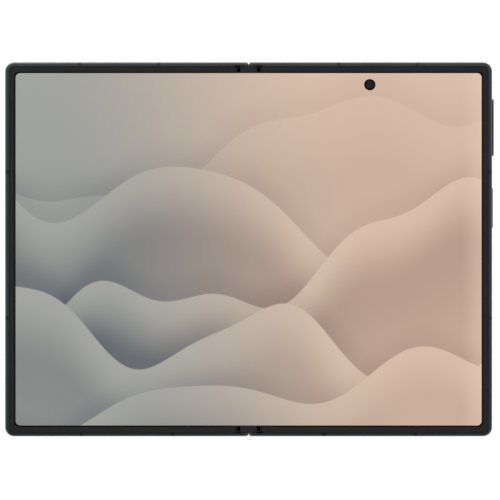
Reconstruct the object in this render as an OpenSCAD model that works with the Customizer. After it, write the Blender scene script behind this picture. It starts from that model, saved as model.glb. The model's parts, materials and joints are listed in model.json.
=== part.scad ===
// Folding phone of the book kind, lying open on its back.
// X runs from the left half to the right half, Y runs along the fold towards the
// top edge, and Z points out of the screen. The origin is on the fold line, at the
// middle of its length, in the plane that the camera rings rest on.
// Each half is drawn as a right half; the left one is mirrored.

/* [Body] */
// Distance from the fold line to the outer side of one half
half_w = 80.8; // [74:0.5:95]
// Length of the body along the fold
body_h = 124.1; // [118:0.5:150]
// Thickness of one half, from its back to the crest of its rim
body_t = 4.9; // [4.8:0.05:5.6]
// Radius of the four outer corners, seen from the front
corner_r = 3; // [2:0.1:6]
// Width of the metal rim, seen from the front
rim_w = 1.3; // [1.2:0.05:1.6]
// Rounding along the outer edges of the rim
rim_round = 0.65; // [0.3:0.05:0.9]
// Rise of the rim's front from its rounding to its inner edge
rim_rise = 0.14; // [0.05:0.01:0.2]
// Width of the rim across the hinge recess
hinge_rim_w = 1.1; // [1:0.05:1.2]
// Chamfer of the rim's corners where the halves meet, seen from the front
notch_w = 0.6; // [0.3:0.05:0.9]
// Gap between each half and the fold plane
half_gap = 0.03; // [0.03:0.01:0.12]
// Thickness of the plate that divides each half
plate_t = 0.35; // [0.3:0.05:0.5]
// Thickness of the back glasses
glass_t = 0.55; // [0.4:0.05:0.7]
// Distance from the fold plane to the back glasses
glass_from_fold = 5.5; // [5:0.1:8]
// Clearance round the back glasses
glass_gap = 0.05; // [0.03:0.01:0.1]
// Thickness of adhesive and foam layers
glue_t = 0.05; // [0.03:0.01:0.08]
// Width of the ledge that carries the back glasses
ledge_w = 0.8; // [0.5:0.05:1]
// Thickness of that ledge
ledge_t = 0.6; // [0.4:0.05:0.6]

/* [Screen] */
// Distance from the outer sides to the lit screen
screen_side = 3.55; // [3.2:0.05:4.5]
// Distance from the top and bottom edges to the lit screen
screen_end = 3.65; // [3.3:0.05:4.5]
// Radius of the screen's corners
screen_r = 1.5; // [0.5:0.1:3]
// Drop of the screen's surface below the rim's crest
screen_drop = 0.25; // [0.2:0.01:0.35]
// Drop of the bezel's surface below the rim's crest
bezel_drop = 0.12; // [0.08:0.01:0.16]
// Width of the unlit line between the bezel and the lit screen
dark_line = 0.45; // [0.2:0.05:0.6]
// Width of the bezel's foot on the dividing plate
bezel_foot = 0.9; // [0.6:0.05:1]
// Thickness of the folding panel with its backing
panel_t = 0.6; // [0.4:0.05:0.7]
// Distance from the fold plane to the stiff part of the panel
strip_half = 8; // [7.5:0.1:10]

/* [Hinge] */
// Distance from the fold plane to each fold axis
axis_x = 1.5; // [1.5:0.05:1.6]
// Gap between the rims of the folded halves
fold_gap = 0.2; // [0.1:0.05:0.3]
// Thickness of each half's back lip over the spine
lip_t = 0.55; // [0.4:0.05:0.6]
// Running clearance between the spine and the halves
spine_gap = 0.15; // [0.1:0.01:0.2]
// Wall thickness of the spine cover
spine_wall = 0.4; // [0.3:0.05:0.5]
// Clearance between the spine's ends and the rims
spine_end_gap = 0.1; // [0.05:0.01:0.2]
// Thickness of the spine's end walls
spine_end_wall = 0.5; // [0.4:0.05:0.6]
// Thickness of the fixed plate behind the fold
centre_plate_t = 0.3; // [0.2:0.05:0.35]
// Thickness of the tilting plates behind the fold
wing_t = 0.25; // [0.2:0.05:0.3]
// Depth of the notch in those plates that clears the flexible circuit
wing_relief = 1.3; // [1.2:0.1:1.8]
// Depth of each half's pocket behind the folding panel
pocket_depth = 2.45; // [2.3:0.05:2.5]
// Thickness of the wall between the pocket and the electronics
pocket_wall = 1; // [0.8:0.1:1.5]
// Radius of the hinge pins
pin_r = 0.4; // [0.35:0.01:0.42]
// Radial clearance of the pins and the gear shafts
pin_gap = 0.03; // [0.02:0.01:0.05]
// Depth of the pins in the rims
pin_in_rim = 0.55; // [0.4:0.05:0.7]
// Depth of the pins in the end blocks
pin_in_block = 1.6; // [1:0.1:2]
// Width of the gear teeth
gear_w = 0.9; // [0.6:0.1:1]
// Module of the hinge gears
gear_module = 0.2; // [0.2:0.005:0.21]
// Teeth of the gears on the halves
drive_teeth = 8; // [8:1:8]
// Teeth of the gears between them
idler_teeth = 7; // [7:1:7]
// Radius of the idler gear shafts
shaft_r = 0.3; // [0.25:0.01:0.32]
// Length of each end block along the fold
block_len = 9.4; // [9:0.1:12]
// Thickness of the end blocks' outer cheeks
cheek_t = 0.45; // [0.3:0.05:0.5]
// Friction discs on each idler shaft
disc_count = 8; // [4:1:10]
// Thickness of a friction disc
disc_t = 0.4; // [0.3:0.05:0.4]
// Radius of a friction disc
disc_r = 0.62; // [0.5:0.01:0.64]
// Width of the rounded caps at the ends of the hinge
cap_w = 5.5; // [5:0.1:6]
// Thickness of those caps
cap_t = 0.2; // [0.15:0.01:0.2]
// Drop of the caps below the rim's crest
cap_drop = 0.08; // [0.05:0.01:0.1]
// Fall of the caps from their middle to their sides
cap_fall = 0.35; // [0.2:0.05:0.5]
// Radius of the spine screws
spine_screw_r = 0.3; // [0.25:0.01:0.35]
// Radius of the spine screws' heads
spine_screw_head_r = 0.5; // [0.4:0.02:0.55]
// Width of the flexible circuit across the hinge
flex_w = 9; // [6:0.5:10]
// Thickness of the flexible circuit
flex_t = 0.12; // [0.08:0.01:0.2]
// Drop of that circuit below the fold axes
flex_drop = 1.3; // [1.25:0.01:1.35]
// Distance from the top edge to the middle of the circuit across the fold
flex_top = 19.05; // [18:0.05:20]

/* [Buttons] */
// Height of the buttons through the body's thickness
key_h = 1.7; // [1.4:0.1:1.8]
// Height of the buttons' inner flanges
key_flange_h = 2.2; // [2:0.1:2.3]
// Thickness of the buttons' inner flanges
key_flange_t = 0.4; // [0.3:0.05:0.5]
// How far the flanges reach past the buttons
key_flange_reach = 0.5; // [0.3:0.05:0.8]
// Clearance round the buttons
key_gap = 0.1; // [0.08:0.01:0.15]
// Length of the volume rocker
rocker_len = 18.9; // [14:0.1:20]
// Distance from the top edge to the middle of the rocker
rocker_top = 21.55; // [20:0.05:23]
// How far the volume rocker stands proud
rocker_proud = 0.65; // [0.2:0.05:0.8]
// Gap between the rocker's flange and the rim
rocker_play = 0.3; // [0.28:0.01:0.35]
// Length of the side key
side_key_len = 13.3; // [10:0.1:15]
// Distance from the top edge to the middle of the side key
side_key_top = 48.35; // [47:0.05:50]
// How far the side key stands proud
side_key_proud = 0.35; // [0.1:0.05:0.5]
// Gap between the side key's flange and the rim
side_key_play = 0.03; // [0.02:0.01:0.05]
// Radius of the plungers and switch domes
dome_r = 0.8; // [0.6:0.05:1]
// Thickness of the switch domes
dome_t = 0.25; // [0.2:0.05:0.3]
// Gap between the plungers and the domes
dome_gap = 0.2; // [0.19:0.01:0.25]
// Length of the side key's plunger behind its flange
plunger_len = 0.4; // [0.3:0.05:0.5]
// Distance of the rocker's plungers from its middle
rocker_dome_y = 7; // [5:0.1:7.5]
// Thickness of the switch board
switch_board_t = 0.4; // [0.3:0.05:0.6]

/* [Antennas] */
// Width of the antenna bands
band_w = 1.1; // [0.8:0.1:1.4]
// Place of the outer band in the top rim, as a share of the half's width
band_top_outer = 0.693; // [0.65:0.001:0.72]
// Place of the inner band in the top rim
band_top_inner = 0.37; // [0.33:0.0005:0.4]
// Place of the outer band in the bottom rim
band_bottom_outer = 0.6855; // [0.66:0.0005:0.7]
// Place of the inner band in the bottom rim
band_bottom_inner = 0.3105; // [0.3:0.001:0.33]
// Distance from the top edge to the upper band in the side rim
band_from_top = 36.45; // [35:0.05:38]
// Distance from the bottom edge to the lower band in the side rim
band_from_bottom = 39.25; // [36:0.05:42]

/* [Cameras] */
// Distance from the outer side to the middle of the camera island
island_side = 18.7; // [17:0.1:22]
// Distance from the top edge to the middle of the upper camera
island_top = 18; // [16:0.1:22]
// Width of the camera island
island_w = 20; // [18:0.5:22]
// Distance between the two rear cameras
lens_pitch = 18; // [16:0.5:19]
// Distance from the lower camera to the middle of the island's lower end
island_tail = 4; // [3:0.5:8]
// Rise of the camera island above the back
island_t = 1; // [0.6:0.1:1.4]
// Rounding of the island's edge
island_round = 0.4; // [0.1:0.05:0.5]
// Rise of the lens rings above the island
ring_t = 0.4; // [0.3:0.05:0.6]
// Radius of the lens rings
ring_r = 7.2; // [6.8:0.1:7.8]
// Radius of the lens glasses
lens_r = 5.4; // [5:0.1:6]
// Thickness of the lens glasses
lens_t = 0.28; // [0.2:0.02:0.28]
// Radius of the rear camera barrels
barrel_r = 4.2; // [3.5:0.1:4.6]
// Width of the rear camera modules
module_w = 11; // [10:0.5:12]
// Clearance of the camera barrels and modules
camera_gap = 0.2; // [0.1:0.05:0.3]
// Radius of the flash window
flash_r = 1.5; // [1:0.1:2]
// Drop of the flash below the lower camera
flash_drop = 10.5; // [10:0.1:11]
// Place of the camera beside the inner screen, as a share of the half's width
inner_camera_share = 0.4975; // [0.44:0.001:0.54]
// Distance from the top edge to the inner camera
inner_camera_top = 7.45; // [7:0.05:9]
// Radius of the inner camera
inner_camera_r = 1.87; // [1.4:0.01:2]
// Radius of the inner camera's lens
inner_lens_r = 0.95; // [0.6:0.05:1]
// Width of the inner and cover camera modules
small_module_w = 5.2; // [5:0.1:6]
// Place of the camera in the cover screen, as a share of the half's width
cover_camera_share = 0.5365; // [0.48:0.0005:0.58]
// Distance from the top edge to the cover camera
cover_camera_top = 7; // [6.5:0.1:8]
// Radius of the cover camera
cover_camera_r = 1.6; // [1:0.1:2]

/* [Electronics] */
// Clearance round the parts inside
bay_gap = 0.15; // [0.1:0.01:0.2]
// Room between the boards and the outer side, for switches and magnets
side_room = 3.5; // [3.2:0.1:4.5]
// Clearance between neighbouring parts inside
part_gap = 0.5; // [0.3:0.1:1]
// Thickness of the circuit boards
board_t = 0.6; // [0.5:0.05:0.8]
// Drop of the circuit boards below the dividing plate
board_drop = 0.2; // [0.1:0.05:0.3]
// Length of the main board along the fold
main_board_len = 55; // [53:0.5:58]
// Length of the left half's board along the fold
left_board_len = 26.6; // [25:0.1:32]
// Length of the bottom board along the fold
usb_board_len = 19; // [16:0.5:20]
// Clearance between the shield cans and the back
shield_gap = 0.25; // [0.2:0.05:0.4]
// Margin of the shield cans on their boards
shield_margin = 5; // [4:0.5:7]
// Length of the connectors of the flexible circuit
connector_len = 3.4; // [2.5:0.1:4]
// Thickness of the cover display
cover_display_t = 0.6; // [0.4:0.05:0.7]
// Margin of the cover display inside its glass
cover_display_margin = 1.6; // [1.2:0.1:3]
// Outer radius of the charging coil
coil_outer_r = 21; // [16:0.5:22]
// Inner radius of the charging coil
coil_inner_r = 11; // [8:0.5:14]
// Thickness of the charging coil
coil_t = 0.12; // [0.1:0.01:0.2]
// Width of the loudspeakers
speaker_w = 15; // [12:0.5:17]
// Length of the loudspeakers along the fold
speaker_len = 14; // [10:0.5:15]
// Width of the vibration motor
motor_w = 8; // [6:0.5:9]
// Length of the vibration motor along the fold
motor_len = 14; // [10:0.5:15]
// Width of the magnets
magnet_w = 2.6; // [1.5:0.1:2.8]
// Length of the magnets
magnet_len = 13; // [8:0.5:15]
// Height of the magnets
magnet_h = 2; // [1.5:0.1:2.1]
// Distance from the bottom edge to the upper magnet
magnet_inner = 28.95; // [28:0.05:31]
// Distance from the bottom edge to the lower magnet
magnet_outer = 10.95; // [10:0.05:12]
// Radius of the board screws
screw_r = 0.5; // [0.4:0.05:0.6]
// Radius of the board screws' heads
screw_head_r = 1.1; // [0.9:0.05:1.3]
// Height of the board screws' heads
screw_head_h = 0.4; // [0.3:0.05:0.5]
// Distance of the board screws from the boards' corners
screw_inset = 3.4; // [3:0.1:4]

/* [Ports] */
// Place of the connector in the bottom rim, as a share of the half's width
port_share = 0.5068; // [0.48:0.0002:0.53]
// Width of the charging port's opening
port_w = 8.34; // [8.3:0.02:8.4]
// Height of the charging port's opening
port_h = 2.56; // [2.5:0.02:2.6]
// Wall of the charging port's shell
port_wall = 0.2; // [0.15:0.01:0.22]
// Depth of the charging port's shell
port_depth = 6.2; // [5.5:0.1:7]
// Width of the charging port's tongue
tongue_w = 6.7; // [6.6:0.02:6.8]
// Thickness of the charging port's tongue
tongue_t = 0.7; // [0.6:0.02:0.7]
// Radius of the loudspeaker holes
sound_hole_r = 0.5; // [0.3:0.05:0.6]
// Distance between the loudspeaker holes
sound_hole_pitch = 1.8; // [1.6:0.1:2]
// Loudspeaker holes at each end
sound_hole_count = 6; // [3:1:7]
// Radius of the microphone holes
mic_hole_r = 0.35; // [0.25:0.05:0.5]
// Place of the microphone holes, as a share of the half's width
mic_share = 0.6146; // [0.6:0.0002:0.64]
// Place of the card tray in the bottom rim, as a share of the half's width
tray_share = 0.4709; // [0.44:0.0001:0.52]
// Width of the card tray's face
tray_face_w = 16.8; // [16.5:0.1:17.5]
// Height of the card tray's face
tray_face_h = 1.5; // [1.4:0.05:1.6]
// Clearance round the card tray's face
tray_face_gap = 0.06; // [0.05:0.01:0.1]
// Width of the card tray
tray_w = 15.4; // [15:0.1:15.6]
// Thickness of the card tray
tray_t = 0.9; // [0.8:0.05:1]
// Length of the card tray behind its face
tray_len = 21; // [19:0.5:22]
// Width of the card seat in the tray
card_w = 12.3; // [12.3:0.1:12.5]
// Length of the card seat in the tray
card_len = 8.8; // [8.8:0.1:9]
// Width of the tray's bar behind the card
tray_end_wall = 1; // [0.6:0.1:1.5]
// Radius of the tray's release hole
release_r = 0.45; // [0.4:0.05:0.5]
// Wall of the tray's socket
socket_wall = 0.3; // [0.2:0.05:0.3]
// Running clearance between the tray and its socket
socket_gap = 0.05; // [0.04:0.01:0.08]

/* [Hidden] */
$fn = 48;

// How deep joined solids reach into each other
bite = 0.3;
// Length that cutters run past what they cut
over = 1;

// Levels, from the table up
z_back = island_t + ring_t;
z_front = z_back + body_t;
z_axis = z_front - axis_x + fold_gap / 2;
z_screen = z_front - screen_drop;
z_bezel = z_front - bezel_drop;
z_panel = z_screen - panel_t;
z_seat = z_panel - glue_t;
z_plate = z_seat - plate_t;
z_inside = z_back + glass_t + glue_t;
z_pocket = z_panel - pocket_depth;
z_board = z_plate - board_drop - board_t;
z_key = z_plate - key_flange_h / 2 - glue_t;
z_cap = z_front - cap_drop;

// Hinge
spine_r = z_axis - z_back - lip_t - spine_gap;
spine_inner_r = spine_r - spine_wall;
pocket_r = spine_r + spine_gap;
recess_x = axis_x + pocket_r;
pocket_x = strip_half + glue_t;
bay_x = pocket_x + pocket_wall;
end_y = body_h / 2;
hinge_y = end_y - hinge_rim_w;
spine_y = hinge_y - spine_end_gap;
screen_y = end_y - screen_end;
cheek_y = screen_y + glue_t + cheek_t;
block_y = cheek_y - block_len;
pocket_y = screen_y + bay_gap;
centre_plate_z = z_seat - centre_plate_t;
centre_plate_x = axis_x + sqrt(pow(spine_r, 2) - pow(z_seat - z_axis, 2)) - glue_t;
pin_seat_y = cheek_y - pin_in_block;
drive_r = gear_module * drive_teeth / 2;
idler_r = gear_module * idler_teeth / 2;
gear_reach = drive_r + idler_r;
idler_x = idler_r;
idler_z = z_axis - sqrt(pow(gear_reach, 2) - pow(axis_x - idler_x, 2));
gear_y = cheek_y + bay_gap;
mesh_angle = atan2(z_axis - idler_z, axis_x - idler_x);
right_idler_phase = 180;
left_idler_phase = right_idler_phase + 180 / idler_teeth;
tooth_out = 0.65 * gear_module;
tooth_in = 0.85 * gear_module;
tooth_share = 0.4;
tooth_foot = 1.25;
tooth_tip = 0.5;
disc_y = block_y + part_gap + disc_t;
disc_bay_len = disc_count * disc_t + (disc_count + 1) * glue_t;
collar_r = shaft_r + 0.2;
wing_x = axis_x + spine_r + glue_t;
wing_pivot_x = strip_half - wing_t / 2;
wing_len_y = 2 * screen_y;
flex_y = end_y - flex_top;
flex_z = z_axis - flex_drop;
flex_end_x = bay_x + bay_gap + connector_len;

// Inside of the halves
side_x = half_w - rim_w;
inner_x = bay_x + bay_gap;
outer_x = side_x - side_room;
port_inner_y = end_y - rim_w;
bay_y = port_inner_y - bay_gap;
usb_board_y = -bay_y + usb_board_len;
right_battery_y = usb_board_y + part_gap;
main_board_y = bay_y - main_board_len;
right_battery_len = main_board_y - part_gap - right_battery_y;
left_battery_y = -bay_y + tray_len + part_gap + socket_wall + glue_t;
left_board_y = bay_y - left_board_len;
left_battery_len = left_board_y - part_gap - left_battery_y;
z_left = z_inside + cover_display_t;
z_right = z_inside + coil_t;
motor_y = ledge_w + bay_gap - port_inner_y;
rocker_y = end_y - rocker_top;
side_key_y = end_y - side_key_top;
magnets_y = [magnet_inner - end_y, magnet_outer - end_y];
island_x = half_w - island_side;
upper_lens_y = end_y - island_top;
lower_lens_y = upper_lens_y - lens_pitch;
island_tail_y = lower_lens_y - island_tail;
flash_y = lower_lens_y - flash_drop;
inner_camera_y = end_y - inner_camera_top;
cover_camera_y = end_y - cover_camera_top;
camera_bay_x = island_x - module_w / 2 - part_gap;
camera_bay_y = lower_lens_y - module_w / 2 - part_gap;
speaker_x = outer_x - speaker_w;
switch_x = side_x - side_key_play - key_flange_t - dome_gap - dome_t - plunger_len;
port_z = z_inside + port_wall + port_h / 2 + glue_t;
tray_z = z_plate - glue_t - socket_wall - socket_gap - tray_t / 2;
card_y = tray_len - port_inner_y - tray_end_wall;
port_x = port_share * half_w;
tray_x = tray_share * half_w;
mic_x = mic_share * half_w;
inner_camera_x = inner_camera_share * half_w;
cover_camera_x = cover_camera_share * half_w;

// Antenna bands
top_bands = [band_top_outer * half_w, band_top_inner * half_w];
bottom_bands = [band_bottom_outer * half_w, band_bottom_inner * half_w];
side_bands = [end_y - band_from_top, band_from_bottom - end_y];

// ---------------------------------------------------------------- helpers

module left_side() {
    mirror([1, 0, 0])
        children();
}

module both_ends() {
    children();
    mirror([0, 1, 0])
        children();
}

module both_sides() {
    children();
    mirror([1, 0, 0])
        children();
}

// Outline of a right half, from x0 to the outer side less an inset
module half_outline(x0, inset, r = -1) {
    w = half_w - inset - x0;
    h = body_h - 2 * inset;
    rr = r < 0 ? max(corner_r - inset, 0.2) : r;
    translate([x0, -h / 2])
        square([w - rr, h]);
    translate([x0, rr - h / 2])
        square([w, h - 2 * rr]);
    for (s = [-1, 1])
        translate([x0 + w - rr, s * (h / 2 - rr)])
            circle(rr);
}

// The same with its own insets at the side and the ends
module screen_outline(x0, side, end, r) {
    w = half_w - side - x0;
    h = body_h - 2 * end;
    translate([x0, -h / 2])
        square([w - r, h]);
    translate([x0, r - h / 2])
        square([w, h - 2 * r]);
    for (s = [-1, 1])
        translate([x0 + w - r, s * (h / 2 - r)])
            circle(r);
}

// Flat bar with round ends, w long and h wide, about the origin
module stadium(w, h) {
    square([w - h, h], center = true);
    for (s = [-1, 1])
        translate([s * (w - h) / 2, 0])
            circle(h / 2);
}

// Extrudes a shape drawn in X and Z along Y, from y0 to y1
module along_y(y0, y1) {
    translate([0, y1, 0])
        rotate([90, 0, 0])
            linear_extrude(y1 - y0)
                children();
}

// Extrudes a shape drawn in Y and Z along X, from x0 to x1
module along_x(x0, x1) {
    translate([x0, 0, 0])
        rotate([90, 0, 90])
            linear_extrude(x1 - x0)
                children();
}

module cylinder_y(x, z, r, y0, y1) {
    translate([x, y1, z])
        rotate([90, 0, 0])
            cylinder(r = r, h = y1 - y0);
}

module box(x0, x1, y0, y1, z0, z1) {
    translate([x0, y0, z0])
        cube([x1 - x0, y1 - y0, z1 - z0]);
}

// Toothed disc in X and Z; phase is the angle of one tooth's middle
module gear_shape(teeth, phase) {
    pitch_r = gear_module * teeth / 2;
    root_r = pitch_r - tooth_in;
    tip_r = pitch_r + tooth_out;
    half_a = 180 / teeth * tooth_share;
    foot_a = half_a * tooth_foot;
    tip_a = half_a * tooth_tip;
    circle(root_r);
    for (i = [0:teeth - 1])
        rotate(phase + i * 360 / teeth)
            polygon([
                [0, 0],
                [root_r * cos(foot_a), -root_r * sin(foot_a)],
                [pitch_r * cos(half_a), -pitch_r * sin(half_a)],
                [tip_r * cos(tip_a), -tip_r * sin(tip_a)],
                [tip_r * cos(tip_a), tip_r * sin(tip_a)],
                [pitch_r * cos(half_a), pitch_r * sin(half_a)],
                [root_r * cos(foot_a), root_r * sin(foot_a)]
            ]);
}

// ------------------------------------------------------- frames of the halves

// Section of the rim: x is the distance from its outer face. Its front rises to its
// inner edge.
module rim_profile() {
    z_edge = z_front - rim_rise;
    translate([0, z_back + rim_round])
        square([rim_w, z_edge - z_back - 2 * rim_round]);
    translate([rim_round, z_back])
        square([rim_w - rim_round, z_edge - z_back]);
    for (z = [z_back + rim_round, z_edge - rim_round])
        translate([rim_round, z])
            circle(rim_round);
    polygon([[rim_round, z_edge], [rim_w, z_back + rim_round], [rim_w, z_front]]);
}

module end_bar(x0, x1) {
    translate([0, -end_y, 0])
        along_x(x0, x1)
            rim_profile();
}

module side_bar(y0, y1) {
    translate([half_w, 0, 0])
        mirror([1, 0, 0])
            along_y(y0, y1)
                rim_profile();
}

module rim() {
    both_ends() {
        end_bar(half_gap, half_w - corner_r);
        translate([half_w - corner_r, corner_r - end_y, 0])
            rotate([0, 0, -90])
                rotate_extrude(angle = 90)
                    translate([corner_r, 0])
                        mirror([1, 0])
                            rim_profile();
    }
    side_bar(corner_r - end_y, end_y - corner_r);
}

module antenna_bands() {
    for (x = bottom_bands)
        end_bar(x - band_w / 2, x + band_w / 2);
    for (x = top_bands)
        mirror([0, 1, 0])
            end_bar(x - band_w / 2, x + band_w / 2);
    for (y = side_bands)
        side_bar(y - band_w / 2, y + band_w / 2);
}

// Lip over the spine, floor of the pocket, and the walls round the pocket
module hinge_edge() {
    box(half_gap, bay_x, -port_inner_y - bite, port_inner_y + bite, z_back, z_pocket);
    box(pocket_x, bay_x, -port_inner_y - bite, port_inner_y + bite, z_back, z_seat);
    both_ends()
        box(recess_x, bay_x, pocket_y, port_inner_y + bite, z_back, z_seat);
}

// Room for the spine, which turns about the fold axis of the half
module spine_room() {
    cylinder_y(axis_x, z_axis, pocket_r, -hinge_y, hinge_y);
    box(-over, axis_x, -hinge_y, hinge_y, z_back + lip_t, z_front + over);
    box(-over, recess_x, -hinge_y, hinge_y, z_axis, z_front + over);
}

// Rounds the ends of the rim where the halves meet, and chamfers their corners
module rim_end_cut() {
    difference() {
        box(-over, axis_x, -end_y - over, end_y + over, z_axis, z_front + over);
        cylinder_y(axis_x, z_axis, axis_x - half_gap, -end_y - 2 * over, end_y + 2 * over);
    }
    both_ends()
        linear_extrude(z_front + over)
            polygon([
                [-over, end_y + over], [-over, end_y - notch_w], [half_gap, end_y - notch_w],
                [half_gap + notch_w + over, end_y + over],
            ]);
}

module glass_ledge() {
    translate([0, 0, z_inside])
        linear_extrude(ledge_t)
            difference() {
                half_outline(bay_x - bite, rim_w - bite);
                half_outline(bay_x, rim_w + ledge_w);
            }
}

module half_frame() {
    difference() {
        union() {
            rim();
            translate([0, 0, z_plate])
                linear_extrude(plate_t)
                    half_outline(pocket_x, rim_w - bite);
            hinge_edge();
            glass_ledge();
        }
        spine_room();
        rim_end_cut();
        antenna_bands();
        translate([0, 0, z_back - over])
            linear_extrude(z_inside - z_back + over)
                half_outline(glass_from_fold - glass_gap, rim_w);
        both_ends()
            cylinder_y(axis_x, z_axis, pin_r + pin_gap, hinge_y - over, hinge_y + pin_in_rim);
        box(pocket_x - over, bay_x + over, flex_y - flex_w / 2 - bite, flex_y + flex_w / 2 + bite,
            flex_z - bay_gap, flex_z + flex_t + bay_gap);
    }
}

// Row of round holes through an end of the rim
module sound_holes(x, count, r) {
    for (i = [0:count - 1])
        cylinder_y(x + (i - (count - 1) / 2) * sound_hole_pitch, (z_inside + z_plate) / 2, r,
            end_y - rim_w - ledge_w - over, end_y + over);
}

module key_slot(y, len) {
    translate([0, y, z_key])
        along_x(side_x - over, half_w + over)
            stadium(len + 2 * key_gap, key_h + 2 * key_gap);
}

module left_frame() {
    color("dimgray")
        left_side()
            difference() {
                half_frame();
                sound_holes(speaker_x + speaker_w / 2, sound_hole_count, sound_hole_r);
                translate([tray_x, over - port_inner_y, tray_z])
                    rotate([90, 0, 0])
                        linear_extrude(rim_w + 2 * over)
                            stadium(tray_face_w + 2 * tray_face_gap, tray_face_h + 2 * tray_face_gap);
                screw_holes(left_screws());
            }
}

module right_frame() {
    color("dimgray")
        difference() {
            half_frame();
            key_slot(rocker_y, rocker_len);
            key_slot(side_key_y, side_key_len);
            mirror([0, 1, 0])
                sound_holes(speaker_x + speaker_w / 2, sound_hole_count, sound_hole_r);
            both_ends()
                sound_holes(mic_x, 1, mic_hole_r);
            translate([port_x, over - port_inner_y, port_z])
                rotate([90, 0, 0])
                    linear_extrude(rim_w + 2 * over)
                        stadium(port_w, port_h);
            box(port_x - port_w / 2 - port_wall - bay_gap, port_x + port_w / 2 + port_wall + bay_gap,
                -port_inner_y, -port_inner_y + ledge_w + over, z_inside - over, z_plate);
            translate([inner_camera_x, inner_camera_y, z_plate - over])
                cylinder(r = inner_camera_r + camera_gap, h = plate_t + 2 * over);
            screw_holes(right_screws());
        }
}

module left_antenna_bands() {
    color("gray")
        left_side()
            antenna_bands();
}

module right_antenna_bands() {
    color("gray")
        antenna_bands();
}

// --------------------------------------------------------------- front parts

module half_bezel() {
    translate([0, 0, z_screen])
        linear_extrude(z_bezel - z_screen)
            difference() {
                half_outline(recess_x, rim_w + glass_gap);
                screen_outline(recess_x - over, screen_side - dark_line, screen_end - dark_line, screen_r);
            }
    translate([0, 0, z_seat])
        linear_extrude(z_screen - z_seat)
            difference() {
                half_outline(recess_x, rim_w + glass_gap);
                half_outline(recess_x - over, rim_w + glass_gap + bezel_foot);
            }
}

module left_bezel() {
    color([0.16, 0.16, 0.16])
        left_side()
            half_bezel();
}

module right_bezel() {
    color([0.16, 0.16, 0.16])
        half_bezel();
}

module half_panel() {
    translate([0, 0, z_panel])
        linear_extrude(panel_t)
            half_outline(strip_half, rim_w + glass_gap + bezel_foot + glue_t);
}

module left_display_panel() {
    color([0.6, 0.6, 0.58])
        left_side()
            half_panel();
}

module right_display_panel() {
    color([0.85, 0.72, 0.64])
        difference() {
            half_panel();
            translate([inner_camera_x, inner_camera_y, z_panel - over])
                cylinder(r = inner_camera_r + glue_t, h = panel_t + 2 * over);
        }
}

module display_fold_strip() {
    color([0.7, 0.66, 0.62])
        box(-strip_half, strip_half, -screen_y, screen_y, z_panel, z_screen);
}

// --------------------------------------------------------------------- hinge

// Section of the spine with radius r round both fold axes
module spine_shape(r) {
    for (s = [-1, 1])
        translate([s * axis_x, z_axis])
            circle(r);
    translate([-axis_x, z_axis - r])
        square([2 * axis_x, 2 * r]);
}

module spine_cover() {
    cut_x = axis_x + spine_r + over;
    cut_z = z_axis + spine_r + over;
    color("slategray")
        difference() {
            along_y(-spine_y, spine_y)
                spine_shape(spine_r);
            along_y(spine_end_wall - spine_y, spine_y - spine_end_wall)
                spine_shape(spine_inner_r);
            box(-cut_x, cut_x, -spine_y - over, spine_y + over, centre_plate_z, cut_z);
            both_ends()
                box(-cut_x, cut_x, spine_y - spine_end_wall - glue_t, spine_y + over,
                    z_axis - drive_r - tooth_out - bay_gap, cut_z);
            box(-cut_x, cut_x, flex_y - flex_w / 2 - bite, flex_y + flex_w / 2 + bite,
                flex_z - glue_t * 2, cut_z);
            spine_screw_places()
                cylinder(r = spine_screw_r, h = spine_r * 2, center = true);
        }
}

// Foot of each spine screw, in the spine's wall
module spine_screw_places() {
    both_ends()
        both_sides()
            translate([axis_x + bite * 2, block_y + block_len / 2, z_axis - spine_r + spine_wall / 2])
                children();
}

module hinge_end_blocks() {
    color("silver")
        both_ends()
            difference() {
                union() {
                    intersection() {
                        along_y(block_y, cheek_y)
                            spine_shape(spine_inner_r - glue_t);
                        box(-spine_r * 2, spine_r * 2, block_y, cheek_y, z_back, centre_plate_z - glue_t);
                    }
                    box(-axis_x - pin_r * 2, axis_x + pin_r * 2, pin_seat_y, screen_y + glue_t,
                        z_axis - bite, z_seat);
                    box(-cap_w / 2 + glue_t, cap_w / 2 - glue_t, screen_y + glue_t, cheek_y,
                        z_axis - bite, z_cap - cap_fall - cap_t);
                }
                both_sides() {
                    cylinder_y(axis_x, z_axis, pin_r, pin_seat_y, cheek_y + over);
                    cylinder_y(idler_x, idler_z, shaft_r + pin_gap, block_y - over, cheek_y + over);
                }
                box(-idler_x - disc_r - glue_t, idler_x + disc_r + glue_t, disc_y, disc_y + disc_bay_len,
                    idler_z - disc_r - glue_t, z_front);
                spine_screw_places()
                    translate([0, 0, spine_wall / 2 - over])
                        cylinder(r = spine_screw_r, h = spine_r * 2);
                spine_screw_places()
                    translate([0, 0, z_axis - flex_z + bite])
                        cylinder(r = spine_screw_head_r + glue_t, h = spine_r * 2);
            }
}

module spine_screws() {
    color("silver")
        spine_screw_places() {
            cylinder(r = spine_screw_r, h = z_axis - flex_z + bite);
            translate([0, 0, z_axis - flex_z + bite])
                cylinder(r = spine_screw_head_r, h = bite);
        }
}

module hinge_pins() {
    color("lightgray")
        both_ends()
            both_sides()
                cylinder_y(axis_x, z_axis, pin_r, pin_seat_y, hinge_y + pin_in_rim - glue_t);
}

// Rounded cap between the two halves' bezels at each end of the hinge
module hinge_end_caps() {
    cap_r = (pow(cap_w / 2, 2) + pow(cap_fall, 2)) / (2 * cap_fall);
    color([0.2, 0.2, 0.2])
        both_ends()
            intersection() {
                difference() {
                    cylinder_y(0, z_cap - cap_r, cap_r, screen_y + glue_t, spine_y);
                    cylinder_y(0, z_cap - cap_r, cap_r - cap_t, 0, spine_y + over);
                }
                box(-cap_w / 2, cap_w / 2, 0, end_y, z_axis, z_front);
            }
}

module fold_centre_plate() {
    color("lightsteelblue")
        box(-centre_plate_x, centre_plate_x, glue_t - pin_seat_y, pin_seat_y - glue_t,
            centre_plate_z, z_seat);
}

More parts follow.
